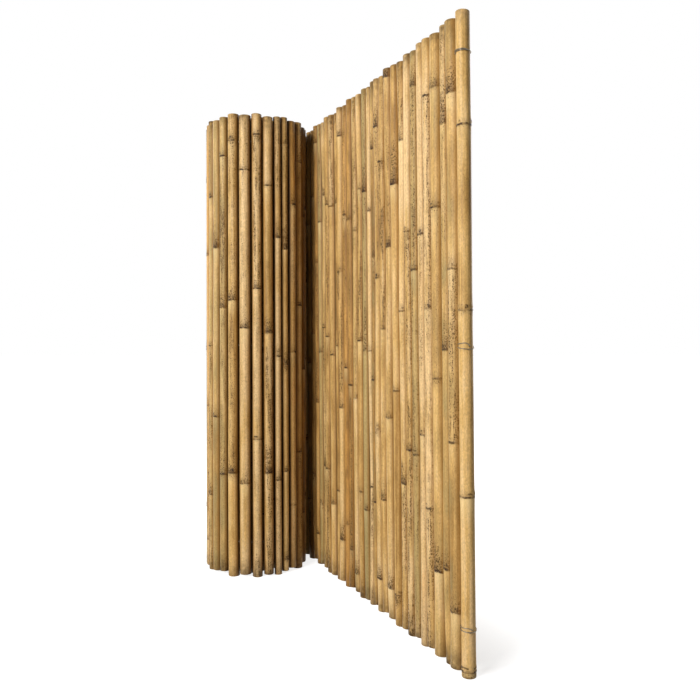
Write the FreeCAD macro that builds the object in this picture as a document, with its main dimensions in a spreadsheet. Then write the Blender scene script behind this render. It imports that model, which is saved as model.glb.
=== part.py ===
"""Roll-up bamboo fence: whole canes threaded side by side on three wires.

The mat stands on its canes' feet, partly unrolled: a straight panel in front
runs back into a roll of two turns around an open core. Canes are counted from
the free end of the panel to the core of the roll. Millimetres, +Z up.
"""

import FreeCAD
import Part
import math
import os

from FreeCAD import Placement, Rotation, Vector

# Canes along the mat
PANEL_CANES = 29
OUTER_TURN_CANES = 27
INNER_TURN_CANES = 23

# Flat sides that stand for a round section
CANE_SIDES = 14
BORE_SIDES = 8
WIRE_SIDES = 6

# Each cane's thickness between the middle size (0) and the thickest (1) or thinnest (-1),
# repeated along the mat
THICKNESS = (
    0.0, 0.7, -0.5, 0.9, 0.6, -0.2, -0.1, 0.1, -0.1, 0.55,
    0.65, 0.1, 0.0, -0.9, -1.0, -0.3, 0.2, 0.0, 0.4,
)

# Share of the stagger by which each foot clears the floor, repeated along the mat
FOOT_LIFT = (0.0, 0.5, 0.0, 0.6, 1.0, 0.0, 0.8)

# Step of a sequence that spreads the heads evenly over their stagger
HEAD_STEP = 0.618

# Driving dimensions: alias, value, meaning
SIZES = (
    ("fence_height", 1000, "floor to the highest head"),
    ("head_stagger", 7, "drop from the highest head to the lowest"),
    ("foot_stagger", 7, "rise from the lowest foot to the highest"),
    ("middle_diameter", 21.4, "middle size of a cane"),
    ("diameter_spread", 5.5, "from the middle size to the thickest or thinnest"),
    ("cane_wall", 3.2, "wall of a cane at its open head"),
    ("head_depth", 42, "depth of the open head"),
    ("cane_gap", 2, "room between neighbours along the mat"),
    ("roll_gap", 1.2, "room between one layer of the roll and the next"),
    ("core_radius", 65, "centre of the roll to its innermost cane"),
    ("panel_bearing", 22.7, "degrees that the panel turns from the line of sight"),
    ("wire_diameter", 2, "galvanised wire"),
    ("hole_clearance", 0.35, "room around the wire in its holes"),
    ("bottom_wire_rise", 74, "floor to the bottom wire"),
    ("top_wire_drop", 60, "highest head to the top wire"),
    ("turn_spacing", 10.5, "between the two turns of a wire around an end cane"),
    ("turn_clearance", 0.25, "room between an end cane and those turns"),
)

# Height of each wire, as a sheet expression
WIRES = {
    "bottom_wire": "Sizes.bottom_wire_rise",
    "middle_wire": "Sizes.fence_height / 2",
    "top_wire": "Sizes.fence_height - Sizes.top_wire_drop",
}

CANES = PANEL_CANES + OUTER_TURN_CANES + INNER_TURN_CANES
UPRIGHT = Vector(0, 0, 1)

doc = FreeCAD.newDocument("BambooFence")
sheet = doc.addObject("Spreadsheet::Sheet", "Sizes")


def fill_sheet():
    for row, (alias, value, meaning) in enumerate(SIZES, start=1):
        sheet.set(f"A{row}", alias)
        sheet.set(f"B{row}", str(value))
        sheet.setAlias(f"B{row}", alias)
        sheet.set(f"C{row}", meaning)
    doc.recompute()


def thickness(index):
    return THICKNESS[index % len(THICKNESS)]


def diameter(index):
    return sheet.middle_diameter + thickness(index) * sheet.diameter_spread


def diameter_cells(index):
    return f"(Sizes.middle_diameter + {thickness(index)} * Sizes.diameter_spread)"


def corner_ratio(sides):
    """Corner radius of a regular section over half its width across the flats."""
    return 1 / math.cos(math.pi / sides)


def is_end_cane(index):
    return index in (0, CANES - 1)


def room_along_mat(index):
    """Length of mat that a cane takes up, with the turns of wire around an end cane."""
    turns = 2 * (sheet.wire_diameter + sheet.turn_clearance) if is_end_cane(index) else 0
    return diameter(index) + turns + sheet.cane_gap


def gap_points():
    """Middles of the gaps between canes in plan, where the wires bend, from the free end on."""
    thickest = sheet.middle_diameter + max(THICKNESS) * sheet.diameter_spread
    layer_pitch = thickest * corner_ratio(CANE_SIDES) + sheet.roll_gap
    spiral = [(sheet.core_radius, 0.0)]
    for index in reversed(range(PANEL_CANES, CANES)):
        radius, turned = spiral[-1]
        turned += 2 * math.asin(room_along_mat(index) / (2 * radius))
        spiral.append((sheet.core_radius + layer_pitch * turned / math.tau, turned))
    bearing = math.radians(sheet.panel_bearing)
    leaving = spiral[-1][1] + bearing
    points = [
        Vector(radius * math.cos(leaving - turned), radius * math.sin(leaving - turned), 0)
        for radius, turned in spiral
    ]
    towards_free_end = Vector(math.sin(bearing), -math.cos(bearing), 0)
    for index in reversed(range(PANEL_CANES)):
        points.append(points[-1] + towards_free_end * room_along_mat(index))
    points.reverse()
    return points


def add_column(name, sides, across, height, foot):
    """Upright regular column with a flat side facing along X; sizes are sheet expressions."""
    column = doc.addObject("Part::Prism", name)
    column.Polygon = sides
    column.Placement = Placement(Vector(), Rotation(UPRIGHT, 180 / sides))
    column.setExpression("Circumradius", f"{corner_ratio(sides)} * ({across}) / 2")
    column.setExpression("Height", height)
    column.setExpression("Placement.Base.z", foot)
    return column


def add_cut(name, base, tool):
    cut = doc.addObject("Part::Cut", name)
    cut.Base = base
    cut.Tool = tool
    return cut


def add_group(name, members):
    group = doc.addObject("Part::Compound", name)
    group.Links = members
    return group


def add_drills():
    """Square bars along X at the height of each wire, which clear its holes through a cane."""
    length = "2 * (Sizes.middle_diameter + Sizes.diameter_spread)"
    width = "(Sizes.wire_diameter + 2 * Sizes.hole_clearance)"
    bars = []
    for wire, height in WIRES.items():
        bar = doc.addObject("Part::Box", f"{wire}_drill")
        bar.setExpression("Length", length)
        bar.setExpression("Width", width)
        bar.setExpression("Height", width)
        bar.setExpression("Placement.Base.x", f"-{length} / 2")
        bar.setExpression("Placement.Base.y", f"-{width} / 2")
        bar.setExpression("Placement.Base.z", f"{height} - {width} / 2")
        bars.append(bar)
    return add_group("drills", bars)


def stand_in_mat(piece, index, points):
    """Set a piece made around its own cane's axis half way between two gap points."""
    before, after = points[index:index + 2]
    along_wire = Rotation(Vector(1, 0, 0), after - before)
    piece.Placement = Placement((before + after) / 2, along_wire)


def add_cane(name, index, points, drills):
    """Cane with an open head, drilled across for the wires."""
    foot = f"{FOOT_LIFT[index % len(FOOT_LIFT)]} * Sizes.foot_stagger"
    head = f"(Sizes.fence_height - {index * HEAD_STEP % 1:.3f} * Sizes.head_stagger)"
    across = diameter_cells(index)
    culm = add_column(f"{name}_culm", CANE_SIDES, across, f"{head} - {foot}", foot)
    bore = add_column(
        f"{name}_bore", BORE_SIDES, f"{across} - 2 * Sizes.cane_wall",
        "Sizes.head_depth", f"{head} - Sizes.head_depth",
    )
    cane = add_cut(name, culm, add_group(f"{name}_openings", [bore, drills]))
    stand_in_mat(cane, index, points)
    return cane


def add_run(points):
    """Wire that passes straight through each cane and bends in the gaps of the roll."""
    route = doc.addObject("Part::Polygon", "wire_route")
    route.Nodes = points[:1] + points[PANEL_CANES:]
    section = doc.addObject("Part::RegularPolygon", "wire_section")
    section.Polygon = WIRE_SIDES
    section.setExpression("Circumradius", "Sizes.wire_diameter / 2")
    section.Placement = Placement(points[0], Rotation(UPRIGHT, points[1] - points[0]))
    run = doc.addObject("Part::Sweep", "wire_run")
    run.Sections = [section]
    run.Spine = route
    run.Solid = True
    run.Transition = "Right corner"
    return run


def add_end_turns(name, index, outward, points):
    """Two turns of wire around an end cane and the upright that leads to them from the run."""
    inside = f"{diameter_cells(index)} + 2 * Sizes.turn_clearance"
    thick = "Sizes.wire_diameter"
    pieces = []
    for place, middle in (("lower", "-Sizes.turn_spacing / 2"), ("upper", "Sizes.turn_spacing / 2")):
        foot = f"{middle} - {thick} / 2"
        turn = f"{name}_{place}_turn"
        outer = add_column(f"{turn}_outside", CANE_SIDES, f"{inside} + 2 * {thick}", thick, foot)
        inner = add_column(f"{turn}_inside", CANE_SIDES, inside, thick, foot)
        pieces.append(add_cut(turn, outer, inner))
    upright = doc.addObject("Part::Box", f"{name}_upright")
    upright.setExpression("Length", thick)
    upright.setExpression("Width", thick)
    upright.setExpression("Height", f"Sizes.turn_spacing + {thick}")
    upright.setExpression("Placement.Base.x", f"{outward} * ({inside} + {thick}) / 2 - {thick} / 2")
    upright.setExpression("Placement.Base.y", f"-{thick} / 2")
    upright.setExpression("Placement.Base.z", f"-(Sizes.turn_spacing + {thick}) / 2")
    pieces.append(upright)
    end = doc.addObject("Part::MultiFuse", name)
    end.Shapes = pieces
    stand_in_mat(end, index, points)
    return end


def add_wires(points):
    """Three like wires, each one piece from its turns at the free end to those at the core."""
    blank = doc.addObject("Part::MultiFuse", "wire_blank")
    blank.Shapes = [
        add_run(points),
        add_end_turns("free_end", 0, -1, points),
        add_end_turns("core_end", CANES - 1, 1, points),
    ]
    wires = []
    for name, height in WIRES.items():
        wire = add_group(name, [blank])
        wire.setExpression("Placement.Base.z", height)
        wires.append(wire)
    return wires


def centre_over_origin(pieces):
    """Stand the middle of the plan's bounding box over the origin."""
    box = FreeCAD.BoundBox()
    for piece in pieces:
        box.add(piece.Shape.BoundBox)
    for piece in pieces:
        piece.Placement.Base -= Vector(box.Center.x, box.Center.y, 0)


def check(pieces):
    for item in doc.Objects:
        if {"Invalid", "Error"} & set(item.State):
            raise RuntimeError(f"{item.Label} did not recompute")
    for piece in pieces:
        if piece.Shape.isNull() or not piece.Shape.isValid():
            raise RuntimeError(f"{piece.Label} has no valid shape")


def main():
    fill_sheet()
    points = gap_points()
    drills = add_drills()
    names = [f"panel_cane_{number:02d}" for number in range(1, PANEL_CANES + 1)]
    names += [f"roll_cane_{number:02d}" for number in range(1, OUTER_TURN_CANES + 1)]
    names += [f"inner_cane_{number:02d}" for number in range(1, INNER_TURN_CANES + 1)]
    canes = [add_cane(name, index, points, drills) for index, name in enumerate(names)]
    inner_turn = PANEL_CANES + OUTER_TURN_CANES
    pieces = canes[:inner_turn]
    pieces.append(add_group("inner_turn_canes", canes[inner_turn:]))
    pieces += add_wires(points)
    doc.recompute()
    centre_over_origin(pieces)
    check(pieces)
    os.makedirs("parts", exist_ok=True)
    for piece in pieces:
        piece.Shape.exportStep(f"parts/{piece.Label}.step")


main()
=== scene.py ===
"""Looks of a roll-up bamboo fence that stands partly unrolled: a straight panel in front, a roll behind.

Run as a script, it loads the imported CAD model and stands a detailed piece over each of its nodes.
All lengths are metres in the CAD model's own frame, except where a name ends in _mm.
"""

import functools
import math
from typing import NamedTuple

import bpy
import numpy as np
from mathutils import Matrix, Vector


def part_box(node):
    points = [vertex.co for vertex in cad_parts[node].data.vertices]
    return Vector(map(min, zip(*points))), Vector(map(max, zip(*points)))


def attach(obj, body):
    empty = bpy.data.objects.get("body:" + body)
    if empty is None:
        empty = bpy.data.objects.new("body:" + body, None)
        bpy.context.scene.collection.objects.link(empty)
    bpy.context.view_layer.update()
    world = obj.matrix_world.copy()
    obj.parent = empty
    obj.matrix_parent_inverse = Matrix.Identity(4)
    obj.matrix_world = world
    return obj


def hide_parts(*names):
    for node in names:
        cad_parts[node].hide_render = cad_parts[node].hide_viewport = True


bl_info = {
    "name": "Roll-up bamboo fence",
    "version": (1, 0, 0),
    "blender": (4, 5, 0),
    "location": "3D View > Sidebar > Fence",
    "description": "Bamboo canes and galvanised wires of a fence that rolls up",
    "category": "Add Mesh",
}

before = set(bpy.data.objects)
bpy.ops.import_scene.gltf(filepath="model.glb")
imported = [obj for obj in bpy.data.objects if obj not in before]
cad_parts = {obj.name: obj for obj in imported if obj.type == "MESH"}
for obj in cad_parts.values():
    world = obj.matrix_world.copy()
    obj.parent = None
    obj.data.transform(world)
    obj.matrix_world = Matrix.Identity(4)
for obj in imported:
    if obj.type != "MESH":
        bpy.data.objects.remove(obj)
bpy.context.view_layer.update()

MM = 0.001
SEED = 61

PANEL_NODES = [f"panel_cane_{number:02d}" for number in range(1, 30)]
ROLL_NODES = [f"roll_cane_{number:02d}" for number in range(1, 28)]
INNER_NODE = "inner_turn_canes"
WIRE_NODES = ("bottom_wire", "middle_wire", "top_wire")

# Mean width of the CAD model's fourteen-sided canes over the width across their flats
SECTION_MEAN = 1.013
# The heads end within this of the highest one, and no two of them closer in height than the step
HEAD_BAND = 0.010
HEAD_STEP = 0.00005
# Points within this many times a cane's radius of its axis are its own
OWN_REACH = 1.1
# Least cosine between the way to the next cane in the roll and the way from the last one
STRAIGHT_ON = 0.7
# From the free end's cane to where its wires start, past their turns
END_ROOM = 3.25 * MM

# Canes that stand in front: tone from dark (0) to pale (1), cast from straw (-1) to honey (1), and the
# joints as height in mm from the floor, how heavily the skin above is mottled, from 0 to 1, and
# how large a bud faces forward, if one does. The other canes get theirs from the seed.
FRONT_CANES = {
    "panel_cane_01": (0.70, 0.07, ((10, 0.05), (273, 0.1), (554, 0.1, 0.7), (830, 0.05))),
    "panel_cane_02": (0.55, -0.25, ((91, 0.5, 0.8), (352, 0.2), (618, 0.35), (886, 0.7))),
    "panel_cane_03": (0.62, -0.39, ((150, 0.5, 0.6), (494, 0.7), (846, 1.0))),
    "panel_cane_04": (0.65, -0.26, ((140, 0.8), (448, 0.15), (720, 0.3), (910, 0.5))),
    "panel_cane_05": (0.81, 0.07, ((235, 0.1), (560, 0.15), (905, 0.1))),
    "panel_cane_06": (0.81, 0.13, ((352, 0.3), (685, 0.25))),
    "panel_cane_07": (0.55, -0.59, ((316, 0.2), (628, 0.3), (936, 0.6))),
    "panel_cane_08": (0.75, 0.00, ((321, 0.4), (696, 0.15))),
    "panel_cane_09": (0.73, 0.07, ((259, 0.75), (560, 0.2), (858, 0.25))),
    "panel_cane_10": (0.48, 0.13, ((56, 0.1), (420, 0.2), (786, 1.0))),
    "panel_cane_11": (0.72, 0.07, ((60, 0.6), (370, 0.3), (679, 0.7), (984, 1.0))),
    "panel_cane_12": (0.59, 0.00, ((216, 0.5), (531, 0.15), (838, 0.2))),
    "panel_cane_13": (0.69, 0.07, ((63, 0.5), (345, 0.2), (627, 0.3), (909, 0.7))),
    "panel_cane_14": (0.32, -0.26, ((202, 0.1), (435, 0.3), (668, 0.6), (873, 0.6))),
    "panel_cane_16": (0.45, -0.91, ((180, 0.3), (490, 0.2), (800, 0.9, 1.0))),
    "panel_cane_17": (0.56, 0.13, ((211, 0.15), (510, 0.2), (809, 0.3))),
    "panel_cane_18": (0.59, -0.26, ((42, 0.6), (395, 0.2), (730, 0.2))),
    "panel_cane_19": (0.35, 0.39, ((84, 0.3), (420, 0.2), (756, 0.4))),
    "panel_cane_20": (0.45, 0.52, ((130, 0.2), (455, 0.3), (770, 0.1))),
    "panel_cane_21": (0.70, 0.26, ((92, 0.7), (370, 0.2), (655, 0.2), (938, 0.5))),
    "panel_cane_22": (0.52, 0.00, ((190, 0.2), (500, 0.3), (804, 0.4))),
    "panel_cane_23": (0.67, 0.13, ((158, 0.4), (480, 0.2), (800, 0.2))),
    "panel_cane_24": (0.62, 0.00, ((230, 0.3), (520, 0.2), (809, 0.5))),
    # The last three panel canes get dark tones as painted shade from the roll over the panel's far end
    "panel_cane_27": (0.42, 0.45, ((70, 0.3), (371, 0.4), (690, 0.3), (962, 0.5))),
    "panel_cane_28": (0.28, 0.30, ((205, 0.3), (528, 0.2), (843, 0.4))),
    "panel_cane_29": (0.22, 0.10, ((141, 0.3), (460, 0.3), (782, 0.2))),
    "roll_cane_16": (0.61, -0.44, ((168, 0.6), (500, 0.2), (830, 0.3))),
    "roll_cane_17": (0.63, -0.50, ((344, 0.3), (715, 0.8))),
    "roll_cane_18": (0.58, -0.55, ((220, 0.4), (582, 0.7), (912, 0.3))),
    "roll_cane_19": (0.61, 0.17, ((225, 0.6, 1.0), (599, 0.6), (943, 0.4))),
    "roll_cane_20": (0.87, 0.00, ((203, 0.4), (538, 0.5), (878, 0.3))),
    "roll_cane_21": (0.89, 0.11, ((298, 0.2), (623, 0.4, 0.5), (954, 0.2))),
    "roll_cane_22": (0.80, 0.11, ((224, 1.0, 0.8), (528, 0.8), (845, 0.2))),
    "roll_cane_23": (0.87, 0.00, ((207, 0.4), (476, 0.5), (735, 0.6))),
    "roll_cane_24": (0.57, -0.22, ((30, 0.6), (224, 0.3), (459, 0.7, 1.0), (711, 0.9), (942, 0.4))),
    "roll_cane_25": (0.77, 0.45, ((147, 0.15), (486, 0.25), (812, 0.4))),
    "roll_cane_26": (0.53, 0.25, ((262, 0.3), (590, 0.3), (909, 0.4))),
    # Dark tone as painted shade on the roll's side toward the crease with the panel
    "roll_cane_27": (0.20, 0.10, ((120, 0.4), (447, 0.3), (792, 0.6))),
}

# Radius of a cane of middle thickness, the most joints that a cane gets from the seed, and how much of
# its foot and its head stays free of them
MIDDLE_RADIUS = 0.0107
MOST_JOINTS = 6
BARE_FOOT, BARE_HEAD = 0.02, 0.03

# Rows of the skin about a joint and about a wire, in mm from it
JOINT_ROWS_MM = (
    -26, -16, -10, -6.5, -4.5, -3.2, -2.2, -1.4, -0.7, 0, 0.7, 1.4, 2.1, 3, 4, 5.2, 6.8, 9, 12, 17, 26, 40,
)
HOLE_ROWS_MM = (-2.4, -1.45, -1.0, 0, 1.0, 1.45, 2.4)
HOLE_COLUMNS_MM = (-2.3, -1.45, -0.95, 0, 0.95, 1.45, 2.3)
# Between two rows and two columns elsewhere
PLAIN_ROW = 0.040
PLAIN_COLUMN = math.radians(16)
# Least room between two rows, room about a changeover or an end, and half a changeover's height
ROW_ROOM, END_ROW_ROOM, HALF_CHANGEOVER = 0.25 * MM, 0.4 * MM, 0.15 * MM

# Half the width of a drilled hole and its depth
HOLE_HALF, HOLE_DEPTH = 1.2 * MM, 3.0 * MM
# How far a bud stands out, and how deep the groove above it is
BUD_HEIGHT, GROOVE_DEPTH = 1.0 * MM, 0.45 * MM
# How far past its ends a cane's axis would bend next, and the share of the crook that the free end's has
KNEE_PAST, STRAIGHTEST = 0.1, 0.25
# Length of a head over which its slant fades out
SLANT_REACH = 0.03
# Height over which grime fades out from a foot and from a head
FOOT_GRIME, HEAD_GRIME = 5 * MM, 4 * MM
# Distance from a joint, in mm, that the sawn ends hold
FAR_FROM_JOINT = 90.0
# Edges that turn by more than this stay sharp
SHARP_EDGE = math.radians(50)

# Canes between which the panel's lean changes, counted from the free end, and its share at each
LEAN_CANES = (0, 28, 34)
LEAN_SHARES = (1.0, 0.62, 0.0)
# The same for how far the feet spread along the mat where the roll's outer turn ends
SPREAD_CANES = (46, 56, 62)
SPREAD_SHARES = (0.0, 1.0, 0.0)
# The same for how much of a cane's sides the painted shade between neighbours takes up
NEIGHBOUR_SHADE_CANES = (0, 8, 18, 26, 30, 44, 47, 51)
NEIGHBOUR_SHADE_SHARES = (0.86, 0.91, 1.0, 1.07, 1.0, 0.94, 0.94, 1.0)

# How many times the crook a cane strays along the mat and out of it: in the panel, in the roll's outer
# turn and in its inner turn
STRAYS = ((0.3, 2.4), (0.7, 1.1), (0.3, 0.8))

# Room between the two turns of the bottom, middle and top wire around an end cane
TURN_GAPS = (6 * MM, 9.5 * MM, 1.8 * MM)
# Their room off the skin, how much further off the loose tip ends, and the angle over which it lifts off
TURN_ROOM, TIP_ROOM, TIP_TURN = 0.45 * MM, 1.6 * MM, 0.55
# Where the wire passes from one turn to the other, in turns from its hole, and over how much of a turn
PASS_START, PASS_LENGTH = 0.62, 0.3
TURN_POINTS = 97
WIRE_SIDES = 10

# What each point of a cane's skin holds for its material
CANE_LOOKS = (
    "joint_mm", "mottle", "ring", "under", "wax", "bud", "cut", "neighbour_shade", "tip", "dust", "tone", "cast",
)

# Patterns of the skin in mm across and along a cane, with their detail. Fibres are drawn about
# three times as wide as real ones, which would be too fine to show.
GRAINS_MM = {
    "fibres": (1.4, 130, 3.0),
    "streaks": (5, 300, 2.0),
    "clouds": (20, 70, 2.0),
    "lengths": (60, 190, 1.0),
    "grit": (2.2, 4.0, 2.0),
    "flecks": (2.5, 4.0, 2.0),
    "patches": (8, 10, 1.0),
    "spots": (6, 90, 2.0),
    "wavers": (7, 7, 2.0),
    "bundles": (0.8, 0.8, 1.0),
}

# Room that a speck of mould has, in mm across and along a cane
SPECK_MM = (2.1, 2.1, 3.0)

# Map for baking the patterns to a picture, and the margins of its strips as shares of their width and
# height
BAKE_MAP = "OFBake"
SIDE_MARGIN, END_MARGIN = 0.02, 0.002

# Stage, in metres, watts and degrees
FLOOR_REACH, FLOOR_DROP = 30.0, 0.3 * MM
# How far the floor is lifted to white close to the panel's seen side and behind it, where the lower lift
# paints the shadow darker, how far behind it that takes, and the distances from the fence between which
# the lift grows to 1
SEEN_LIFT, PAINTED_SHADOW_LIFT, SHADE_DEPTH = 0.82, 0.62, 0.06
LIFT_START, LIFT_END = 0.03, 0.30
AMBIENT = 0.085
LIGHT_AIM = (0.0, 0.0, 0.5)
# Place, width and power of each light
LIGHTS = {
    "key_light": ((-1.75, -2.09, 1.5), 1.5, 107.0),
    "fill_light": ((2.0, 1.5, 1.2), 1.8, 45.0),
    "back_light": ((-2.0, 1.8, 1.2), 1.8, 20.0),
}
# The lens is 730 pixels from a picture 700 pixels wide
CAMERA_PLACE, CAMERA_TILT, CAMERA_REACH = (0.07397, -1.4458, 0.502), 0.43, 100.0
SENSOR_WIDTH = 36.0
CAMERA_LENS = SENSOR_WIDTH * 730 / 700

# Blender's names of the nodes and their common settings
ATTRIBUTE, BOTH, BUMP = "ShaderNodeAttribute", "ShaderNodeAddShader", "ShaderNodeBump"
CELLS, COORDINATES, DIFFUSE = "ShaderNodeTexVoronoi", "ShaderNodeTexCoord", "ShaderNodeBsdfDiffuse"
EMISSION, GREY, LIGHT_PATH = "ShaderNodeEmission", "ShaderNodeCombineColor", "ShaderNodeLightPath"
MATH, MIX, NOISE = "ShaderNodeMath", "ShaderNodeMix", "ShaderNodeTexNoise"
OUTPUT, PRINCIPLED, RAMP = "ShaderNodeOutputMaterial", "ShaderNodeBsdfPrincipled", "ShaderNodeValToRGB"
RANGE, VECTOR = "ShaderNodeMapRange", "ShaderNodeVectorMath"
COLOUR, SMOOTH = {"data_type": "RGBA", "out": 2}, {"interpolation_type": "SMOOTHSTEP"}
PLUS, TIMES, GREATER = ({"operation": name} for name in ("ADD", "MULTIPLY", "MAXIMUM"))
WHITE = (1.0, 1.0, 1.0, 1.0)


def linear(hex_colour):
    """Linear RGB of an sRGB hex colour."""
    code = np.array([int(hex_colour[at:at + 2], 16) for at in (1, 3, 5)]) / 255
    return tuple(np.where(code <= 0.04045, code / 12.92, ((code + 0.055) / 1.055) ** 2.4))


def length(name, description, default):
    """Property that holds a length in metres."""
    return bpy.props.FloatProperty(
        name=name, description=description, default=default, min=0.0, max=2.0,
        unit="LENGTH", subtype="DISTANCE", precision=5,
    )


def colour(name, description, hex_colour):
    """Property that holds a colour, given in sRGB and kept as linear RGB."""
    return bpy.props.FloatVectorProperty(
        name=name, description=description, default=linear(hex_colour), min=0, max=1, subtype="COLOR",
    )


class FenceSizes(bpy.types.PropertyGroup):
    """Sizes of the detail that the CAD model leaves plain."""

    wall: length("Cane wall", "Wall of a cane at its cut ends", 3.2 * MM)
    head_depth: length("Head depth", "From a cane's head down to its first closed joint", 42 * MM)
    foot_depth: length("Foot depth", "From a cane's foot up to its first closed joint", 14 * MM)
    rim: length("Cut edge", "Rounding of a sawn edge", 0.6 * MM)
    ridge: length("Joint ridge", "How far the sheath's scar stands out at a joint", 0.62 * MM)
    spacing: length("Joint spacing", "Between joints on a cane of middle thickness", 315 * MM)
    crook: length("Crook", "How far a cane's axis strays at a joint", 1.3 * MM)
    lean: length("Lean", "How far the free end's foot stands off the upright", 12 * MM)
    spread: length("Spread", "How far the feet spread where the roll's outer turn ends", 6.5 * MM)
    wire: length("Wire", "Diameter of the galvanised wire", 1.3 * MM)


class FenceColours(bpy.types.PropertyGroup):
    """Colours of the bamboo, the wire and the stage."""

    deep: colour("Deep bamboo", "Skin of the darkest canes", "#6E4F26")
    amber: colour("Amber bamboo", "Skin of canes below the middle tone", "#A27B42")
    tan: colour("Tan bamboo", "Skin of canes of the middle tone", "#C69F60")
    cream: colour("Cream bamboo", "Skin of the palest canes", "#D8B682")
    straw: colour("Straw", "Cast of canes that dried grey", "#A3905E")
    honey: colour("Honey", "Cast of canes that dried orange", "#C68E46")
    mould: colour("Mould", "Stain of mould about a joint", "#7C5F36")
    speck: colour("Specks", "Specks of mould", "#432E15")
    scar: colour("Scar", "Scars and buds at the joints", "#241105")
    # Painted shade: the side of a cane that faces its neighbour, deeper and more saturated, as in shadow
    flank_shade: colour("Flank", "Skin that faces a neighbour, deeper than the bleached front", "#84581C")
    # Painted shade in the gaps between canes, and grime at their sawn ends
    gap_shade_and_grime: colour("Dirt", "What gathers between two canes", "#2C1A07")
    wax: colour("Wax", "Pale bloom under a joint", "#E6CB92")
    fibre: colour("Cut fibre", "Sawn ends and the inside of a cane", "#CDAE76")
    zinc: colour("Zinc", "Galvanised wire", "#7C7263")
    floor: colour("Floor", "Studio floor", "#BCBCBC")


class Cane(NamedTuple):
    """One cane as the CAD model has it."""

    name: str
    index: int
    axis: np.ndarray
    along: np.ndarray
    radius: float
    foot: float
    head: float


def node_points(node):
    """Corner points of a CAD node, as rows of x, y and z."""
    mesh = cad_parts[node].data
    points = np.empty(len(mesh.vertices) * 3, np.float32)
    mesh.vertices.foreach_get("co", points)
    return points.reshape(-1, 3).astype(float)


def rims_in(node):
    """(axis, radius, foot, head) of each cane in a CAD node.

    Each head has a height of its own, so the points near the top that share one are a cane's rim.
    """
    points = node_points(node)
    rims = points[points[:, 2] > points[:, 2].max() - HEAD_BAND]
    rims = rims[np.argsort(rims[:, 2])]
    rises = np.flatnonzero(np.diff(rims[:, 2]) > HEAD_STEP) + 1
    found = []
    for rim in np.split(rims, rises):
        low, high = rim.min(0), rim.max(0)
        axis = (low + high)[:2] / 2
        radius = (high - low)[:2].mean() / 2 / SECTION_MEAN
        own = np.hypot(*(points[:, :2] - axis).T) < radius * OWN_REACH
        found.append((axis, radius, points[own, 2].min(), high[2]))
    return found


def along_mat(outer, inner):
    """The inner canes in order along the mat: each next one is the nearest that lies ahead."""
    ordered, rest = list(outer[-2:]), list(inner)
    while rest:
        before, last = (rim[0] for rim in ordered[-2:])
        ways = np.array([rim[0] for rim in rest]) - last
        apart = np.linalg.norm(ways, axis=1)
        ahead = ways @ (last - before) / apart / np.linalg.norm(last - before)
        ordered.append(rest.pop(int(np.argmin(np.where(ahead > STRAIGHT_ON, apart, np.inf)))))
    return ordered[2:]


def read_canes():
    """Every cane from the free end of the mat to its core, and the points where the wires bend.

    A cane stands half way between two such points, so each is the one before it, mirrored in the
    cane's axis. The first lies outside the free end, past the turns of wire there.
    """
    names = PANEL_NODES + ROLL_NODES
    rims = [rims_in(name)[0] for name in names]
    inner = along_mat(rims, rims_in(INNER_NODE))
    names = names + [f"{INNER_NODE}_{number:02d}" for number in range(1, len(inner) + 1)]
    rims += inner
    axes = np.array([rim[0] for rim in rims])
    outward = (axes[0] - axes[1]) / np.linalg.norm(axes[0] - axes[1])
    bends = [axes[0] + outward * (rims[0][1] + END_ROOM)]
    for axis in axes:
        bends.append(2 * axis - bends[-1])
    bends = np.array(bends)
    along = bends[:-1] - bends[1:]
    along /= np.linalg.norm(along, axis=1)[:, None]
    canes = [
        Cane(name, index, axis, along[index], radius, foot, head)
        for index, (name, (axis, radius, foot, head)) in enumerate(zip(names, rims))
    ]
    return canes, bends


CANES, BENDS = read_canes()
WIRE_HEIGHTS = [sum(corner.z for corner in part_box(node)) / 2 for node in WIRE_NODES]


def joints_of(cane, sizes, draw):
    """Heights of a cane's joints, how heavily each is mottled, and how large a bud faces forward."""
    spacing = sizes.spacing * np.clip(cane.radius / MIDDLE_RADIUS, 0.75, 1.1) * draw.uniform(0.9, 1.1)
    steps = spacing * draw.uniform(0.92, 1.08, MOST_JOINTS)
    height = cane.foot + BARE_FOOT + spacing * draw.uniform(0, 0.85) + np.cumsum(steps) - steps[0]
    height = height[height < cane.head - BARE_HEAD]
    mottle = draw.beta(1.3, 2.0, len(height))
    if cane.name not in FRONT_CANES:
        return height, mottle, np.zeros(len(height))
    chosen = np.array([(*joint, 0.0)[:3] for joint in FRONT_CANES[cane.name][2]])
    return chosen[:, 0] * MM, chosen[:, 1], chosen[:, 2]


def tone_of(cane, draw):
    """A cane's tone from dark (0) to pale (1) and its cast from straw (-1) to honey (1)."""
    tone = np.clip(draw.normal(0.60, 0.17), 0.15, 0.95)
    cast = np.clip(draw.normal(0, 0.5), -1, 1)
    return FRONT_CANES.get(cane.name, (tone, cast))[:2]


def lean_at(index, height, sizes):
    """How far a cane's axis stands off the upright, in plan.

    The panel leans away from its seen face: most at the feet, nothing at the top wire, most at the
    free end, and less and less into the roll. Where the roll's outer turn ends, the feet spread along
    the mat, again most at the floor.
    """
    low = np.asarray(1 - np.asarray(height) / WIRE_HEIGHTS[-1])[..., None]
    first = CANES[0].along
    away = np.array([-first[1], first[0]])
    along = np.array([cane.along for cane in CANES])
    onward = -np.stack([np.interp(index, np.arange(len(along)), way) for way in along.T], axis=-1)
    leaning = np.asarray(np.interp(index, LEAN_CANES, LEAN_SHARES))[..., None] * sizes.lean
    spreading = np.asarray(np.interp(index, SPREAD_CANES, SPREAD_SHARES))[..., None] * sizes.spread
    return low * (leaning * away + spreading * onward)


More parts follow.
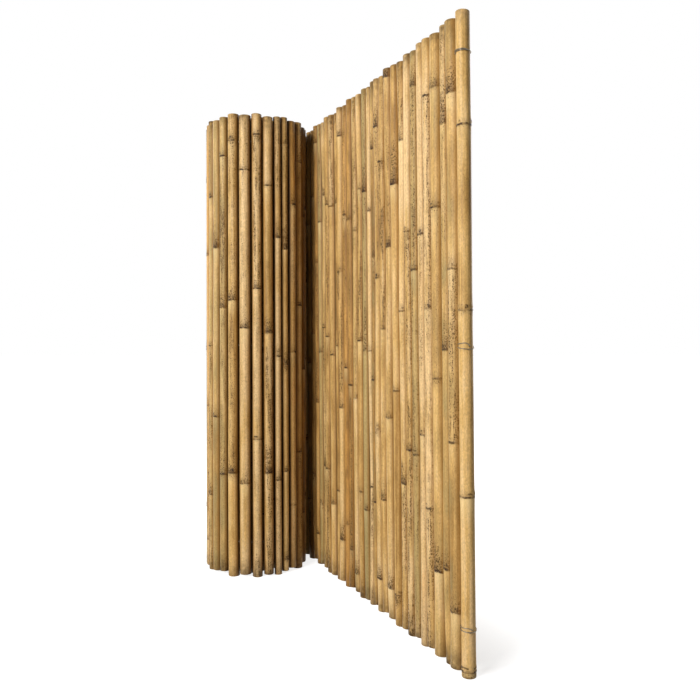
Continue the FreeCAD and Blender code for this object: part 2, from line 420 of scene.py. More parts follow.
def skin_rows(joints, low, high):
    """Heights of the rows of a cane's skin.

    There are even ones, closer ones at the joints and the wires, and a pair half way between two joints,
    where the skin's values change over from one joint to the next.
    """
    even = np.linspace(low, high, 2 + int((high - low) / PLAIN_ROW))[1:-1]
    at_joints = (joints[:, None] + np.array(JOINT_ROWS_MM) * MM).ravel()
    at_holes = (np.array(WIRE_HEIGHTS)[:, None] + np.array(HOLE_ROWS_MM) * MM).ravel()
    rows = np.sort(np.concatenate([at_joints, at_holes, even]))
    rows = rows[(rows > low + END_ROW_ROOM) & (rows < high - END_ROW_ROOM)]
    rows = rows[np.diff(rows, prepend=-1.0) > ROW_ROOM]
    halfway = (joints[1:] + joints[:-1]) / 2
    rows = rows[np.abs(rows[:, None] - halfway).min(1, initial=1.0) > END_ROW_ROOM]
    pairs = (halfway[:, None] + np.array([-HALF_CHANGEOVER, HALF_CHANGEOVER])).ravel()
    return np.concatenate([[low], np.sort(np.concatenate([rows, pairs])), [high]])


def skin_columns(cane):
    """Angles of the columns round a cane from the mat's direction: closer ones about the wires' holes."""
    hole = np.array(HOLE_COLUMNS_MM) * MM / cane.radius
    free = math.pi - 2 * hole[-1]
    between = hole[-1] + np.linspace(0, free, 2 + int(free / PLAIN_COLUMN))[1:-1]
    return np.concatenate([hole, between, hole + math.pi, between + math.pi])


def hump(distance, width):
    """Smooth hump of height 1 that falls off over its width on both sides."""
    return np.exp(-((distance / width) ** 2))


def skin_of(cane, rows, angles, joints, facing, sizes, draw):
    """Distance of a cane's skin from its axis on a grid of rows by angles, and how much of a bud is there.

    The distance is the cane's radius, with a slight taper and an oval section, plus a ridge, a rounded
    swelling and a bud at each joint, less a groove above the bud and the drilled holes.
    """
    nearest = np.abs(rows[:, None] - joints).argmin(1)
    past_mm = (rows - joints[nearest]) / MM
    strength = draw.uniform(0.55, 1.15, len(joints))[nearest]
    # In mm from the joint: a sharp ridge, a band above it and a broad swelling, less a crease between
    outline = sizes.ridge * strength * (
        hump(past_mm, 1.2) + 0.6 * hump(past_mm - 5, 2.8) + 0.5 * hump(past_mm - 2, 14)
        - 0.5 * hump(past_mm - 2.2, 0.8)
    )
    taper = 1 + draw.uniform(-0.03, 0.03) * (rows - 0.5)
    oval = 1 + draw.uniform(0, 0.016) * np.cos(2 * (angles - draw.uniform(0, math.pi)))
    skin = cane.radius * taper[:, None] * oval + outline[:, None]

    # Buds sit on alternate sides of the cane, one above each joint, unless they are set to face forward
    count = len(joints)
    side = draw.uniform(0, math.tau) + math.pi * np.arange(count) + draw.normal(0, 0.15, count)
    swell = np.where(draw.random(count) < 0.6, draw.uniform(0.5, 1.0, count), 0.0)
    forward = math.atan2(-cane.along[0], -cane.along[1]) + draw.uniform(-0.4, 0.4)
    side = np.where(facing > 0, forward, side)
    swell = np.maximum(swell, facing)[nearest][:, None]
    turn = np.angle(np.exp(1j * (angles - side[nearest][:, None])))
    across_mm = turn * cane.radius / MM
    above = (past_mm > 0)[:, None]
    bud = swell * hump(across_mm, 2.6) * hump(past_mm - 5, 4.0)[:, None] * above
    groove = hump(across_mm, 3.4) * np.clip(1 - past_mm / 110, 0, 1)[:, None] ** 2 * above
    groove = groove * np.clip(past_mm / 10, 0, 1)[:, None] * swell
    skin += BUD_HEIGHT * bud - GROOVE_DEPTH * groove

    # Drilled holes, in line with the mat
    to_hole = np.angle(np.exp(2j * angles)) / 2 * cane.radius
    to_wire = np.abs(rows[:, None] - np.array(WIRE_HEIGHTS)).min(1)
    drilled = np.maximum(np.abs(to_hole), to_wire[:, None]) < HOLE_HALF
    return skin - HOLE_DEPTH * drilled, bud


def stray_of(cane, rows, joints, across, sizes, draw):
    """How far a cane's axis strays in plan at each row, along the mat and across it.

    The axis turns a little at each joint and runs straight between them. The wires hold every cane in
    line, and the free end's cane is the straightest.
    """
    knees = np.concatenate([[cane.foot - KNEE_PAST], joints, [cane.head + KNEE_PAST]])
    stray = np.zeros((len(rows), 2))
    first_inner = len(PANEL_NODES) + len(ROLL_NODES)
    part = np.searchsorted((len(PANEL_NODES), first_inner), cane.index, side="right")
    for way, most in zip((cane.along, across), STRAYS[part]):
        crook = draw.uniform(-1, 1, len(knees)) * most * sizes.crook
        crook = crook * (STRAIGHTEST if cane.index == 0 else 1.0)
        held = np.interp(rows, WIRE_HEIGHTS, np.interp(WIRE_HEIGHTS, knees, crook))
        stray += np.outer(np.interp(rows, knees, crook) - held, way)
    return stray


def cane_surface(cane, sizes):
    """Points of a cane on a grid of rows along its outline by columns round it, with what its skin holds.

    The outline runs from the middle of the foot's closed joint down the inside, over the sawn foot,
    up the skin, over the sawn head and down to the head's closed joint. A point lies the skin's distance
    from the axis, less the wall's share inside, at its column's angle from the mat's direction.
    """
    draw = np.random.default_rng((SEED, cane.index))
    joints, mottle, facing = joints_of(cane, sizes, draw)
    rows = skin_rows(joints, cane.foot + sizes.rim, cane.head - sizes.rim)
    angles = skin_columns(cane)
    across = np.array([-cane.along[1], cane.along[0]])
    skin, bud = skin_of(cane, rows, angles, joints, facing, sizes, draw)
    stray = stray_of(cane, rows, joints, across, sizes, draw)

    # Rows of the sawn ends: height, and share of the way from the inside (0) to the skin (1)
    rim, wall = sizes.rim, sizes.wall
    inner, outer = rim / wall, 1 - rim / wall
    foot = ((cane.foot + sizes.foot_depth, 0), (cane.foot + rim, 0), (cane.foot, inner), (cane.foot, outer))
    head = ((cane.head, outer), (cane.head, inner), (cane.head - rim, 0), (cane.head - sizes.head_depth, 0))
    ends = []
    for end, at in ((foot, 0), (head, -1)):
        height, share = np.array(end).T
        inward = wall * (1 - share[:, None])
        ends.append((height, skin[at] - inward, np.repeat(stray[[at]], len(height), axis=0)))
    height, reach, stray = (
        np.concatenate(parts) for parts in zip(ends[0], (rows, skin, stray), ends[1])
    )
    stray = stray + lean_at(cane.index, height, sizes)

    # A saw never cuts a head quite square
    slant = np.interp(height, (cane.head - SLANT_REACH, cane.head), (0, 1))
    high_side = draw.uniform(0, math.tau)
    lift = slant[:, None] * reach * np.cos(angles - high_side) * draw.uniform(0, 0.05)

    ways = np.cos(angles)[:, None] * cane.along + np.sin(angles)[:, None] * across
    plan = cane.axis + stray[:, None, :] + reach[:, :, None] * ways
    points = np.dstack([plan, height[:, None] + lift])
    poles = np.array([[*(cane.axis + stray[at]), height[at]] for at in (0, -1)])

    # Each length between joints has a shade of its own, and both sides face a neighbour but at the ends
    tone, cast = tone_of(cane, draw)
    shade = draw.normal(0, 0.08, len(joints) + 1)
    dust = draw.beta(0.6, 0.9, len(joints) + 1)
    length_at = np.searchsorted(joints, rows)
    ahead = np.cos(angles) * (cane.index > 0)
    behind = -np.cos(angles) * (cane.index < len(CANES) - 1)
    # How squarely a point faces a neighbour sets the painted shade between canes: a deeper flank and a dark
    # gap
    neighbour_shade = np.maximum(ahead, behind) * np.interp(cane.index, NEIGHBOUR_SHADE_CANES, NEIGHBOUR_SHADE_SHARES)
    neighbour_shade *= draw.uniform(0.95, 1.04)
    grime = draw.uniform(0.35, 1.0, 2)
    at_foot = grime[0] * np.exp(-(rows - cane.foot) / FOOT_GRIME)
    at_head = grime[1] * np.exp(-(cane.head - rows) / HEAD_GRIME)
    nearest = np.abs(rows[:, None] - joints).argmin(1)

    def on_skin(values, elsewhere=0.0):
        """Values of the skin's rows, or of its whole grid, carried over the ends and both poles."""
        if np.ndim(values) == 1:
            values = values[:, None]
        grid = np.full(reach.shape, elsewhere, float)
        grid[len(foot):len(foot) + len(rows)] = np.broadcast_to(values, skin.shape)
        return np.concatenate([grid.ravel(), [elsewhere] * 2])

    look = {
        "joint_mm": on_skin((rows - joints[nearest]) / MM, FAR_FROM_JOINT),
        "mottle": on_skin(mottle[nearest]),
        "ring": on_skin(draw.beta(1.5, 0.7, len(joints))[nearest]),
        "under": on_skin(draw.beta(0.8, 2.6, len(joints))[nearest]),
        "wax": on_skin(draw.random(len(joints))[nearest]),
        "bud": on_skin(bud),
        "cut": on_skin(0.0, 1.0),
        "neighbour_shade": on_skin(neighbour_shade[None, :]),
        "tip": on_skin(np.maximum(at_foot, at_head)),
        "dust": on_skin(dust[length_at]),
        "tone": on_skin(tone + shade[length_at], tone),
        "cast": on_skin(cast, cast),
    }
    return points, poles, look


def tube_faces(rows, columns):
    """Quads between the rows of a grid that closes round its columns, and a fan to a pole at each end."""
    row, column = np.mgrid[0:rows - 1, 0:columns]
    following = (column + 1) % columns
    quads = np.stack([
        row * columns + column, row * columns + following,
        (row + 1) * columns + following, (row + 1) * columns + column,
    ], axis=-1).reshape(-1, 4)
    column = np.arange(columns)
    following = (column + 1) % columns
    first, last = rows * columns, rows * columns + 1
    top = (rows - 1) * columns
    fans = np.concatenate([
        np.column_stack([np.full(columns, first), following, column]),
        np.column_stack([top + column, top + following, np.full(columns, last)]),
    ])
    return quads, fans


def tube_map(grid, poles, at, among):
    """Places in the unit square of the corners of a tube's quads and fans, for a picture of its patterns.

    The tube's outline from pole to pole is cut into strips of about equal length, so many that they fill
    a square side by side. Across a strip runs the way round the tube, up it the way along the outline.
    """
    steps = np.linalg.norm(np.diff(grid, axis=0), axis=2).mean(1)
    ends = np.linalg.norm(grid[[0, -1]] - poles[:, None], axis=2).mean(1)
    along = np.cumsum(np.concatenate([[0], ends[:1], steps, ends[1:]]))
    sides = np.linalg.norm(np.roll(grid, -1, axis=1) - grid, axis=2).mean(0)
    share = np.concatenate([[0], np.cumsum(sides)]) / sides.sum()
    strips = max(1, round(math.sqrt(along[-1] / sides.sum() / among)))
    strip = np.clip((along[:-1] + along[1:]) / 2 / along[-1] * strips, 0, strips - 1e-6).astype(int)
    starts, counts = np.unique(strip, return_index=True, return_counts=True)[1:]
    low, high = along[starts], along[starts + counts]
    edges = ((edge - low[strip]) / (high - low)[strip] for edge in (along[:-1], along[1:]))
    lower, upper = (edge * (1 - 2 * END_MARGIN) + END_MARGIN for edge in edges)
    share = share * (1 - 2 * SIDE_MARGIN) + SIDE_MARGIN
    left, right, middle = share[:-1], share[1:], (share[:-1] + share[1:]) / 2

    def placed(bands, across, up):
        """Corners of one band of faces after another, from their shares across and up a strip."""
        across = (at + (strip[bands][:, None, None] + np.column_stack(across)) / strips) / among
        up = np.column_stack([edge[bands] for edge in up])[:, None, :]
        return np.stack(np.broadcast_arrays(across, up), axis=-1).reshape(-1, 2)

    quads = placed(slice(1, -1), (left, right, right, left), (lower, lower, upper, upper))
    first = placed(slice(0, 1), (middle, right, left), (lower, upper, upper))
    last = placed(slice(-1, None), (left, right, middle), (lower, lower, upper))
    return quads, np.concatenate([first, last])


def add_piece(name, surfaces, material, nodes):
    """One object of closed tubes, each given as its grid of points, its two poles and its skin's values."""
    tubes, start = [], 0
    for at, (grid, poles, _) in enumerate(surfaces):
        quads, fans = tube_faces(*grid.shape[:2])
        points = np.concatenate([grid.reshape(-1, 3), poles])
        places = tube_map(grid, poles, at, len(surfaces))
        tubes.append((points, quads + start, fans + start, *places))
        start += len(points)
    points, quads, fans, quad_places, fan_places = (np.concatenate(parts) for parts in zip(*tubes))
    mesh = bpy.data.meshes.new(name)
    mesh.vertices.add(len(points))
    mesh.vertices.foreach_set("co", points.astype(np.float32).ravel())
    mesh.loops.add(quads.size + fans.size)
    mesh.loops.foreach_set("vertex_index", np.concatenate([quads.ravel(), fans.ravel()]).astype(np.int32))
    mesh.polygons.add(len(quads) + len(fans))
    starts = np.concatenate([np.arange(len(quads)) * 4, quads.size + np.arange(len(fans)) * 3])
    mesh.polygons.foreach_set("loop_start", starts.astype(np.int32))
    mesh.update(calc_edges=True)
    places = np.concatenate([quad_places, fan_places]).astype(np.float32)
    mesh.uv_layers.new(name=BAKE_MAP, do_init=False).uv.foreach_set("vector", places.ravel())
    looks = [look for _, _, look in surfaces]
    for key in looks[0]:
        values = np.concatenate([look[key] for look in looks]).astype(np.float32)
        mesh.attributes.new(key, "FLOAT", "POINT").data.foreach_set("value", values)
    if mesh.validate():
        raise RuntimeError(f"{name} has faces that can't stand")
    mesh.shade_smooth()
    mesh.set_sharp_from_angle(angle=SHARP_EDGE)
    mesh.materials.append(material)
    piece = bpy.data.objects.new(name, mesh)
    bpy.context.scene.collection.objects.link(piece)
    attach(piece, "root")
    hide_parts(*nodes)


def add_node(tree, kind, inputs=(), out=0, **settings):
    """Output of a new node with its settings; an input is a socket to link or a value to set."""
    node = tree.nodes.new(kind)
    for name, value in settings.items():
        setattr(node, name, value)
    for key, value in (inputs if isinstance(inputs, dict) else dict(enumerate(inputs))).items():
        if isinstance(value, bpy.types.NodeSocket):
            tree.links.new(value, node.inputs[key])
        else:
            node.inputs[key].default_value = value
    return node.outputs[out] if node.outputs else None


def new_material(name):
    """Empty node material, as (material, add_node for its tree)."""
    material = bpy.data.materials.new(name)
    material.use_nodes = True
    material.node_tree.nodes.clear()
    return material, functools.partial(add_node, material.node_tree)


def plain_skin(add, held, noise, tint):
    """Colour of a cane's tone and cast, broken up by streaks, clouds, fibres and grit."""
    tone = held["tone"]
    for name, swing in (("streaks", 0.16), ("clouds", 0.16), ("lengths", 0.14)):
        shift = add(RANGE, (noise[name], 0.28, 0.72, -swing, swing))
        tone = add(MATH, (tone, shift), **PLUS)
    skin = add(RAMP, (tone,))
    stops = skin.node.color_ramp.elements
    for stop, position, name in ((0, 0.12, "deep"), (1, 0.92, "cream")):
        stops[stop].position, stops[stop].color = position, tint[name]
    for position, name in ((0.40, "amber"), (0.64, "tan")):
        stops.new(position).color = tint[name]
    cast = add(RANGE, (noise["clouds"], 0.28, 0.72, -0.35, 0.35))
    cast = add(MATH, (held["cast"], cast), **PLUS)
    for name, least, most in (("honey", 0.1, 1.0), ("straw", -0.05, -0.9)):
        share = add(RANGE, (cast, least, most, 0.0, 0.75), **SMOOTH)
        skin = add(MIX, {0: share, 6: skin, 7: tint[name]}, **COLOUR)
    for name, least, most in (("fibres", 0.82, 1.14), ("grit", 0.76, 1.22)):
        level = add(RANGE, (noise[name], 0.25, 0.75, least, most))
        grey = add(GREY, (level, level, level))
        skin = add(MIX, {0: 1.0, 6: skin, 7: grey}, blend_type="MULTIPLY", **COLOUR)
    return skin


def mould_shares(add, held, noise, place):
    """How much of the skin the brown stain of mould covers, and how much the finer specks in it do.

    There is more of it on one side of the cane than on the other, with ragged edges. It thins out over
    8 to 120 mm above a joint and 3 to 45 mm below, and runs in streaks.
    """
    sided = add(RANGE, (noise["clouds"], 0.3, 0.7, 0.3, 1.3))
    ragged = add(RANGE, (noise["flecks"], 0.25, 0.75, -3.0, 3.0))
    ragged = add(MATH, (held["joint_mm"], ragged), **PLUS)
    heavy = add(RANGE, (noise["spots"], 0.34, 0.64, 0.08, 0.9), **SMOOTH)
    heavy = add(MATH, (heavy, held["dust"]), **TIMES)
    for name, way, near, far, least in (("mottle", 1.0, 8.0, 120.0, 0.25), ("under", -1.0, 3.0, 45.0, 0.1)):
        spread = add(RANGE, (held[name], 0.0, 1.0, near * way, far * way))
        spread = add(MATH, (spread, sided), **TIMES)
        share = add(MATH, (ragged, spread), operation="DIVIDE")
        share = add(RANGE, (share, 1.0, 0.05), **SMOOTH)
        begun = add(RANGE, (ragged, -2.0 * way, 0.8 * way), **SMOOTH)
        share = add(MATH, (share, begun), **TIMES)
        strong = add(RANGE, (held[name], 0.0, 0.9, least, 1.0))
        share = add(MATH, (share, strong), **TIMES)
        heavy = add(MATH, (heavy, share), **GREATER)
    patchy = add(RANGE, (noise["patches"], 0.35, 0.65, 0.45, 0.95), **SMOOTH)
    stain = add(MATH, (heavy, patchy), **TIMES)
    reach = add(RANGE, (heavy, 0.0, 0.8, 0.04, 0.47))
    uneven = add(RANGE, (noise["flecks"], 0.25, 0.75, -0.26, 0.26))
    reach = add(MATH, (reach, uneven), **PLUS)
    dots = add(VECTOR, (place, tuple(1 / (size * MM) for size in SPECK_MM)), **TIMES)
    dots = add(CELLS, {"Vector": dots, "Scale": 1.0})
    specks = add(MATH, (reach, dots), operation="SUBTRACT")
    specks = add(RANGE, (specks, -0.10, 0.14), **SMOOTH)
    dark = add(RANGE, (heavy, 0.02, 0.6, 0.35, 0.9))
    return stain, add(MATH, (specks, dark), **TIMES)


def scar_share(add, held, noise):
    """How much of the skin the dark marks at a joint cover.

    They are the scar of the sheath, a soft line up to 4 mm wide that wavers and comes and goes, rarely
    with another above it, the black crust of mould on a heavily stained joint, and the bud.
    """
    past = held["joint_mm"]
    waver = add(RANGE, (noise["wavers"], 0.25, 0.75, -1.2, 1.2))
    waver = add(MATH, (past, waver), **PLUS)
    strong = add(RANGE, (held["ring"], 0.0, 1.0, 0.35, 1.0))
    crust = add(RANGE, (past, 16.0, 1.0, 0.0, 0.9), **SMOOTH)
    begun = add(RANGE, (past, -0.8, 0.4))
    crust = add(MATH, (crust, begun), **TIMES)
    crusty = add(RANGE, (held["mottle"], 0.05, 0.9, 0.12, 1.0))
    crust = add(MATH, (crust, crusty), **TIMES)
    broken = add(RANGE, (noise["flecks"], 0.35, 0.58, 0.3, 1.0), **SMOOTH)
    scars = add(MATH, (crust, broken), **TIMES)
    for above, wide, limits in ((0.0, 2.7, (0.36, 0.58, 0.5, 1.0)), (6.0, 2.4, (0.53, 0.63, 0.0, 0.8))):
        line = add(MATH, (waver, above), operation="SUBTRACT")
        line = add(MATH, (line,), operation="ABSOLUTE")
        line = add(RANGE, (line, wide, 0.9), **SMOOTH)
        kept = add(RANGE, (noise["patches"], *limits), **SMOOTH)
        line = add(MATH, (line, kept), **TIMES)
        line = add(MATH, (line, strong), **TIMES)
        scars = add(MATH, (scars, line), **GREATER)
    bud = add(RANGE, (held["bud"], 0.12, 0.5), **SMOOTH)
    bud = add(MATH, (bud, broken), **TIMES)
    return add(MATH, (scars, bud), **GREATER)


def dried_bamboo(colours):
    """Skin of dried bamboo, satin and slightly waxy.

    It has fibres along the cane, streaks and clouds of darker tan, scars and mould at the joints, a pale
    bloom under them, grime at its ends, bare fibre where it was sawn, and painted shade where it faces a
    neighbour.
    """
    material, add = new_material("dried bamboo, natural satin skin")
    place = add(COORDINATES, out="Object")
    held = {name: add(ATTRIBUTE, out="Fac", attribute_name=name) for name in CANE_LOOKS}
    tint = {name: (*getattr(colours, name), 1.0) for name in colours.__annotations__}
    noise = {}
    for name, (across_mm, along_mm, detail) in GRAINS_MM.items():
        scale = tuple(1 / (size * MM) for size in (across_mm, across_mm, along_mm))
        stretched = add(VECTOR, (place, scale), **TIMES)
        noise[name] = add(NOISE, {"Vector": stretched, "Scale": 1.0, "Detail": detail, "Roughness": 0.6})

    # Bloom under a joint, which fades out over 45 mm
    rising = add(RANGE, (held["joint_mm"], -45.0, -3.0), **SMOOTH)
    bloom = add(RANGE, (held["joint_mm"], -0.6, -1.8), **SMOOTH)
    bloom = add(MATH, (rising, bloom), **TIMES)
    waxy = add(RANGE, (held["wax"], 0.2, 1.0, 0.05, 0.4))
    bloom = add(MATH, (bloom, waxy), **TIMES)

    # Painted shade where a cane faces its neighbour, a deeper flank and a dark gap, and grime at its ends
    flank_shade = add(RANGE, (held["neighbour_shade"], 0.45, 0.92, 0.0, 0.7), **SMOOTH)
    gap_shade_and_grime = add(RANGE, (held["neighbour_shade"], 0.80, 0.97, 0.0, 0.9), **SMOOTH)
    grimy = add(RANGE, (noise["patches"], 0.35, 0.65, 0.35, 1.0))
    grimy = add(MATH, (grimy, held["tip"]), **TIMES)
    gap_shade_and_grime = add(MATH, (gap_shade_and_grime, grimy), **GREATER)

    # Layers over the plain skin, from the lowest up
    stain, specks = mould_shares(add, held, noise, place)
    scars = scar_share(add, held, noise)
    layers = {"wax": bloom, "mould": stain, "speck": specks, "scar": scars, "flank_shade": flank_shade, "gap_shade_and_grime": gap_shade_and_grime}
    skin = plain_skin(add, held, noise, tint)
    for name, share in layers.items():
        skin = add(MIX, {0: share, 6: skin, 7: tint[name]}, **COLOUR)

    # Sawn ends: pale fibre with darker bundles
    bundles = add(RANGE, (noise["bundles"], 0.52, 0.68, 0.0, 0.65))
    sawn = add(MIX, {0: bundles, 6: tint["fibre"], 7: tint["amber"]}, **COLOUR)
    skin = add(MIX, {0: held["cut"], 6: skin, 7: sawn}, **COLOUR)

    matt = add(MATH, (specks, held["cut"]), **GREATER)
    gloss = add(RANGE, (noise["fibres"], 0.2, 0.8, 0.44, 0.58))
    gloss = add(MATH, (matt, 0.22, gloss), operation="MULTIPLY_ADD")
    relief = add(MATH, (specks, 0.35, noise["fibres"]), operation="MULTIPLY_ADD")
    relief = add(BUMP, {"Strength": 0.35, "Distance": 0.15 * MM, "Height": relief})
    surface = add(PRINCIPLED, {
        "Base Color": skin, "Roughness": gloss, "Normal": relief, "IOR": 1.45, "Specular IOR Level": 0.2,
    })
    add(OUTPUT, {"Surface": surface})
    return material


def galvanised_wire(colours):
    """Drawn steel wire dipped in zinc: dull grey metal with faint mottled crystals."""
    material, add = new_material("galvanised steel wire, weathered zinc")
    place = add(COORDINATES, out="Object")
    # Crystals about 3 mm across
    crystals = add(NOISE, {"Vector": place, "Scale": 1 / (3 * MM), "Detail": 2.0})
    dull = add(RANGE, (crystals, 0.3, 0.7, 0.26, 0.44))
    shade = add(RANGE, (crystals, 0.3, 0.7, 0.75, 1.05))
    grey = add(GREY, (shade, shade, shade))
    zinc = add(MIX, {0: 1.0, 6: (*colours.zinc, 1.0), 7: grey}, blend_type="MULTIPLY", **COLOUR)
    surface = add(PRINCIPLED, {"Base Color": zinc, "Roughness": dull, "Metallic": 1.0})
    add(OUTPUT, {"Surface": surface})
    return material


def material_named(make, colours):
    """The material that a maker function makes, made once."""
    kept = bpy.context.scene.get(make.__name__)
    if kept is None:
        kept = make(colours)
        bpy.context.scene[make.__name__] = kept
    return kept


def turns_of(cane, out, height, gap, sizes):
    """Middle line of a wire's end around an end cane, from its loose tip to where it enters the cane.

    In the cane's own plan the line is a circle two turns long, just outside the skin. Its height
    swings between the two turns' heights outside and close to the threaded wire inside the mat.
    """
    turned = np.linspace(2 * math.tau + TIP_TURN, 0.0, TURN_POINTS)
    inside = (1 - np.cos(turned)) / 2
    apart = gap / 2 * (1 - inside) + 1.25 * sizes.wire * inside
    passed = np.clip((turned - math.tau * PASS_START) / (math.tau * PASS_LENGTH), 0, 1)
    rise = apart * np.cos(math.pi * passed * passed * (3 - 2 * passed)) * np.clip(turned / 0.5, 0, 1)
    loose = np.clip((turned - 2 * math.tau) / TIP_TURN, 0, 1)
    reach = cane.radius + sizes.wire / 2 + TURN_ROOM + TIP_ROOM * loose
    along = cane.along * out
    across = np.array([-along[1], along[0]]) * out
    ways = np.cos(turned)[:, None] * along - np.sin(turned)[:, None] * across
    plan = cane.axis + lean_at(cane.index, height, sizes) + reach[:, None] * ways
    return np.column_stack([plan, height + rise])


def wire_surface(height, gap, sizes):
    """Tube of the wire's diameter along its line.

    The line is the turns at the free end, the run through the canes with its bends in the gaps between
    them, and the turns at the core.
    """
    between = np.arange(len(CANES) - 1) + 0.5
    run = np.column_stack([BENDS[1:-1] + lean_at(between, height, sizes), np.full(len(between), height)])
    core = turns_of(CANES[-1], -1, height, gap, sizes)[::-1]
    line = np.concatenate([turns_of(CANES[0], 1, height, gap, sizes), run, core])
    tangent = np.gradient(line, axis=0)
    tangent /= np.linalg.norm(tangent, axis=1)[:, None]
    level = np.cross(tangent, (0, 0, 1))
    level /= np.linalg.norm(level, axis=1)[:, None]
    upright = np.cross(level, tangent)
    turn = np.linspace(0, math.tau, WIRE_SIDES, endpoint=False)[None, :, None]
    section = np.cos(turn) * level[:, None] - np.sin(turn) * upright[:, None]
    return line[:, None] + sizes.wire / 2 * section, line[[0, -1]], {}


def add_canes(canes, scene):
    """A piece for each of some canes."""
    bamboo = material_named(dried_bamboo, scene.fence_colours)
    for cane in canes:
        surface = cane_surface(cane, scene.fence_sizes)
        add_piece(f"{cane.name}_skin", [surface], bamboo, [cane.name])


class FENCE_OT_panel_canes(bpy.types.Operator):
    """Add the canes of the unrolled panel"""

    bl_idname = "fence.panel_canes"
    bl_label = "Panel canes"

    def execute(self, context):
        add_canes(CANES[:len(PANEL_NODES)], context.scene)
        return {"FINISHED"}


class FENCE_OT_roll_canes(bpy.types.Operator):
    """Add the canes of the roll's outer turn"""

    bl_idname = "fence.roll_canes"
    bl_label = "Outer turn of the roll"

    def execute(self, context):
        first = len(PANEL_NODES)
        add_canes(CANES[first:first + len(ROLL_NODES)], context.scene)
        return {"FINISHED"}


class FENCE_OT_inner_canes(bpy.types.Operator):
    """Add the canes of the roll's inner turn as one piece"""

    bl_idname = "fence.inner_canes"
    bl_label = "Inner turn of the roll"

    def execute(self, context):
        bamboo = material_named(dried_bamboo, context.scene.fence_colours)
        inner = CANES[len(PANEL_NODES) + len(ROLL_NODES):]
        surfaces = [cane_surface(cane, context.scene.fence_sizes) for cane in inner]
        add_piece(f"{INNER_NODE}_skin", surfaces, bamboo, [INNER_NODE])
        return {"FINISHED"}


class FENCE_OT_wires(bpy.types.Operator):
    """Add the three wires with their turns around the end canes"""

    bl_idname = "fence.wires"
    bl_label = "Wires"

    def execute(self, context):
        zinc = material_named(galvanised_wire, context.scene.fence_colours)
        for node, height, gap in zip(WIRE_NODES, WIRE_HEIGHTS, TURN_GAPS):
            surface = wire_surface(height, gap, context.scene.fence_sizes)
            add_piece(f"{node}_strand", [surface], zinc, [node])
        return {"FINISHED"}


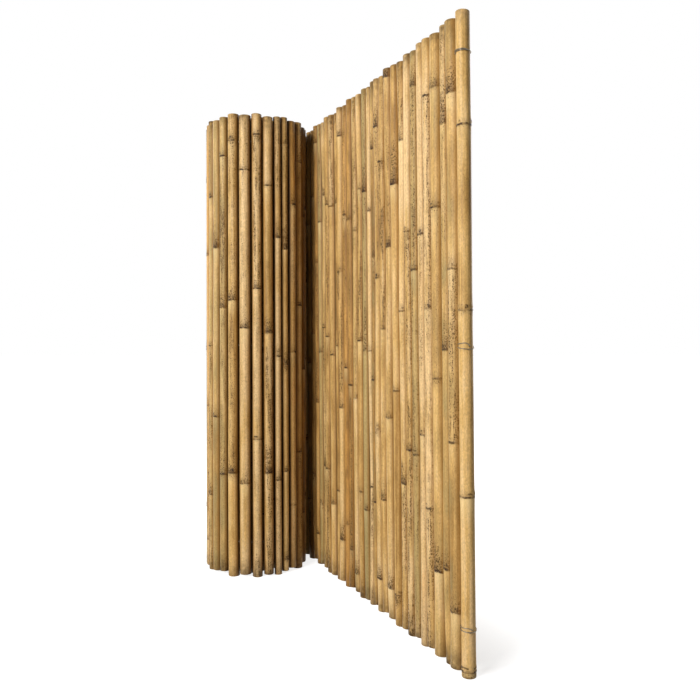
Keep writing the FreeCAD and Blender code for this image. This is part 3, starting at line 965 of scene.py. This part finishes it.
class FENCE_OT_stage(bpy.types.Operator):
    """Add the studio floor, the lights and the camera"""

    bl_idname = "fence.stage"
    bl_label = "Studio stage"

    def execute(self, context):
        scene = context.scene
        scene.view_settings.view_transform = "Standard"
        self.add_floor(scene)
        self.add_world(scene)
        self.add_lights(scene)
        self.add_camera(scene)
        return {"FINISHED"}

    def add_seen(self, add):
        """Whether the camera, a reflection or a view through glass sees a point, as 0 or 1."""
        seen = add(LIGHT_PATH, out="Is Camera Ray")
        for name in ("Is Glossy Ray", "Is Transmission Ray"):
            seen = add(MATH, (seen, add(LIGHT_PATH, out=name)), **GREATER)
        return seen

    def add_floor(self, scene):
        """White floor that takes the shadow; away from the fence, what is seen of it is lifted to white.

        The distance from the fence is the lesser of two: from the panel's line, and from the roll's
        circle. The lift is least close to the fence, and less again on the panel's shadowed side, which
        paints the shadow there darker.
        """
        material, add = new_material("studio floor, matt white")
        place = add(COORDINATES, out="Object")
        free_end, roll_end = (Vector((*CANES[at].axis, 0)) for at in (0, len(PANEL_NODES)))
        rolled = np.array([cane.axis for cane in CANES[len(PANEL_NODES):]])
        middle = rolled.mean(0)
        from_end = add(VECTOR, (place, free_end), operation="SUBTRACT")
        way, panel = (roll_end - free_end).normalized(), (roll_end - free_end).length
        run = add(VECTOR, (from_end, way), out="Value", operation="DOT_PRODUCT")
        run = add(RANGE, (run, 0.0, panel, 0.0, panel))
        foot = add(VECTOR, {0: way, "Scale": run}, operation="SCALE")
        from_panel = add(VECTOR, (from_end, foot), out="Value", operation="DISTANCE")
        from_roll = add(VECTOR, (place, (*middle, 0)), out="Value", operation="DISTANCE")
        from_roll = add(MATH, (from_roll, np.hypot(*(rolled - middle).T).max()), operation="SUBTRACT")
        away = add(MATH, (from_panel, from_roll), operation="MINIMUM")
        before = add(VECTOR, (from_end, (-way.y, way.x, 0.0)), out="Value", operation="DOT_PRODUCT")
        # Weaker glow behind the panel: painted shadow that deepens the real one
        least = add(RANGE, (before, 0.0, -SHADE_DEPTH, SEEN_LIFT, PAINTED_SHADOW_LIFT), **SMOOTH)
        lift = add(RANGE, (away, LIFT_START, LIFT_END, least, 1.0), **SMOOTH)
        lift = add(MATH, (lift, self.add_seen(add)), **TIMES)
        glow = add(EMISSION, {"Strength": lift})
        matt = add(DIFFUSE, {"Color": (*scene.fence_colours.floor, 1.0)})
        add(OUTPUT, {"Surface": add(BOTH, (matt, glow))})
        mesh = bpy.data.meshes.new("studio_floor")
        corners = np.array([(-1, -1), (1, -1), (1, 1), (-1, 1)]) * FLOOR_REACH
        mesh.from_pydata([(x, y, -FLOOR_DROP) for x, y in corners], [], [(0, 1, 2, 3)])
        mesh.materials.append(material)
        floor = bpy.data.objects.new("studio_floor", mesh)
        scene.collection.objects.link(floor)

    def add_world(self, scene):
        """Soft surround, which is seen as white."""
        world = bpy.data.worlds.new("studio surround")
        world.use_nodes = True
        world.node_tree.nodes.clear()
        add = functools.partial(add_node, world.node_tree)
        level = add(RANGE, {0: self.add_seen(add), 3: AMBIENT, 4: 1.0})
        background = add("ShaderNodeBackground", {"Color": WHITE, "Strength": level})
        add("ShaderNodeOutputWorld", {"Surface": background})
        scene.world = world

    def add_lights(self, scene):
        """Large soft key light in front, on the left, and two weaker ones behind."""
        for name, (place, size, power) in LIGHTS.items():
            lamp = bpy.data.lights.new(name, "AREA")
            lamp.shape, lamp.size, lamp.energy = "DISK", size, power
            light = bpy.data.objects.new(name, lamp)
            light.location = place
            aim = Vector(LIGHT_AIM) - light.location
            light.rotation_euler = aim.to_track_quat("-Z", "Y").to_euler()
            scene.collection.objects.link(light)

    def add_camera(self, scene):
        """Camera at about half the fence's height, level but for a slight downward tilt."""
        lens = bpy.data.cameras.new("camera")
        lens.sensor_width, lens.lens, lens.clip_end = SENSOR_WIDTH, CAMERA_LENS, CAMERA_REACH
        camera = bpy.data.objects.new("camera", lens)
        camera.location = CAMERA_PLACE
        camera.rotation_euler = (math.radians(90 - CAMERA_TILT), 0, 0)
        scene.collection.objects.link(camera)
        scene.camera = camera


class FENCE_PT_panel(bpy.types.Panel):
    """Sizes, colours and steps of the fence"""

    bl_idname = "FENCE_PT_panel"
    bl_label = "Bamboo fence"
    bl_space_type = "VIEW_3D"
    bl_region_type = "UI"
    bl_category = "Fence"

    def draw(self, context):
        for step in STEPS:
            self.layout.operator(step.bl_idname)
        for group in (context.scene.fence_sizes, context.scene.fence_colours):
            box = self.layout.box()
            for name in group.__annotations__:
                box.prop(group, name)


STEPS = (FENCE_OT_panel_canes, FENCE_OT_roll_canes, FENCE_OT_inner_canes, FENCE_OT_wires, FENCE_OT_stage)
CLASSES = (FenceSizes, FenceColours, *STEPS, FENCE_PT_panel)


def register():
    for item in CLASSES:
        bpy.utils.register_class(item)
    bpy.types.Scene.fence_sizes = bpy.props.PointerProperty(type=FenceSizes)
    bpy.types.Scene.fence_colours = bpy.props.PointerProperty(type=FenceColours)


def unregister():
    del bpy.types.Scene.fence_colours, bpy.types.Scene.fence_sizes
    for item in reversed(CLASSES):
        bpy.utils.unregister_class(item)


def main():
    register()
    bpy.ops.fence.panel_canes()
    bpy.ops.fence.roll_canes()
    bpy.ops.fence.inner_canes()
    bpy.ops.fence.wires()
    bpy.ops.fence.stage()


if __name__ == "__main__":
    main()
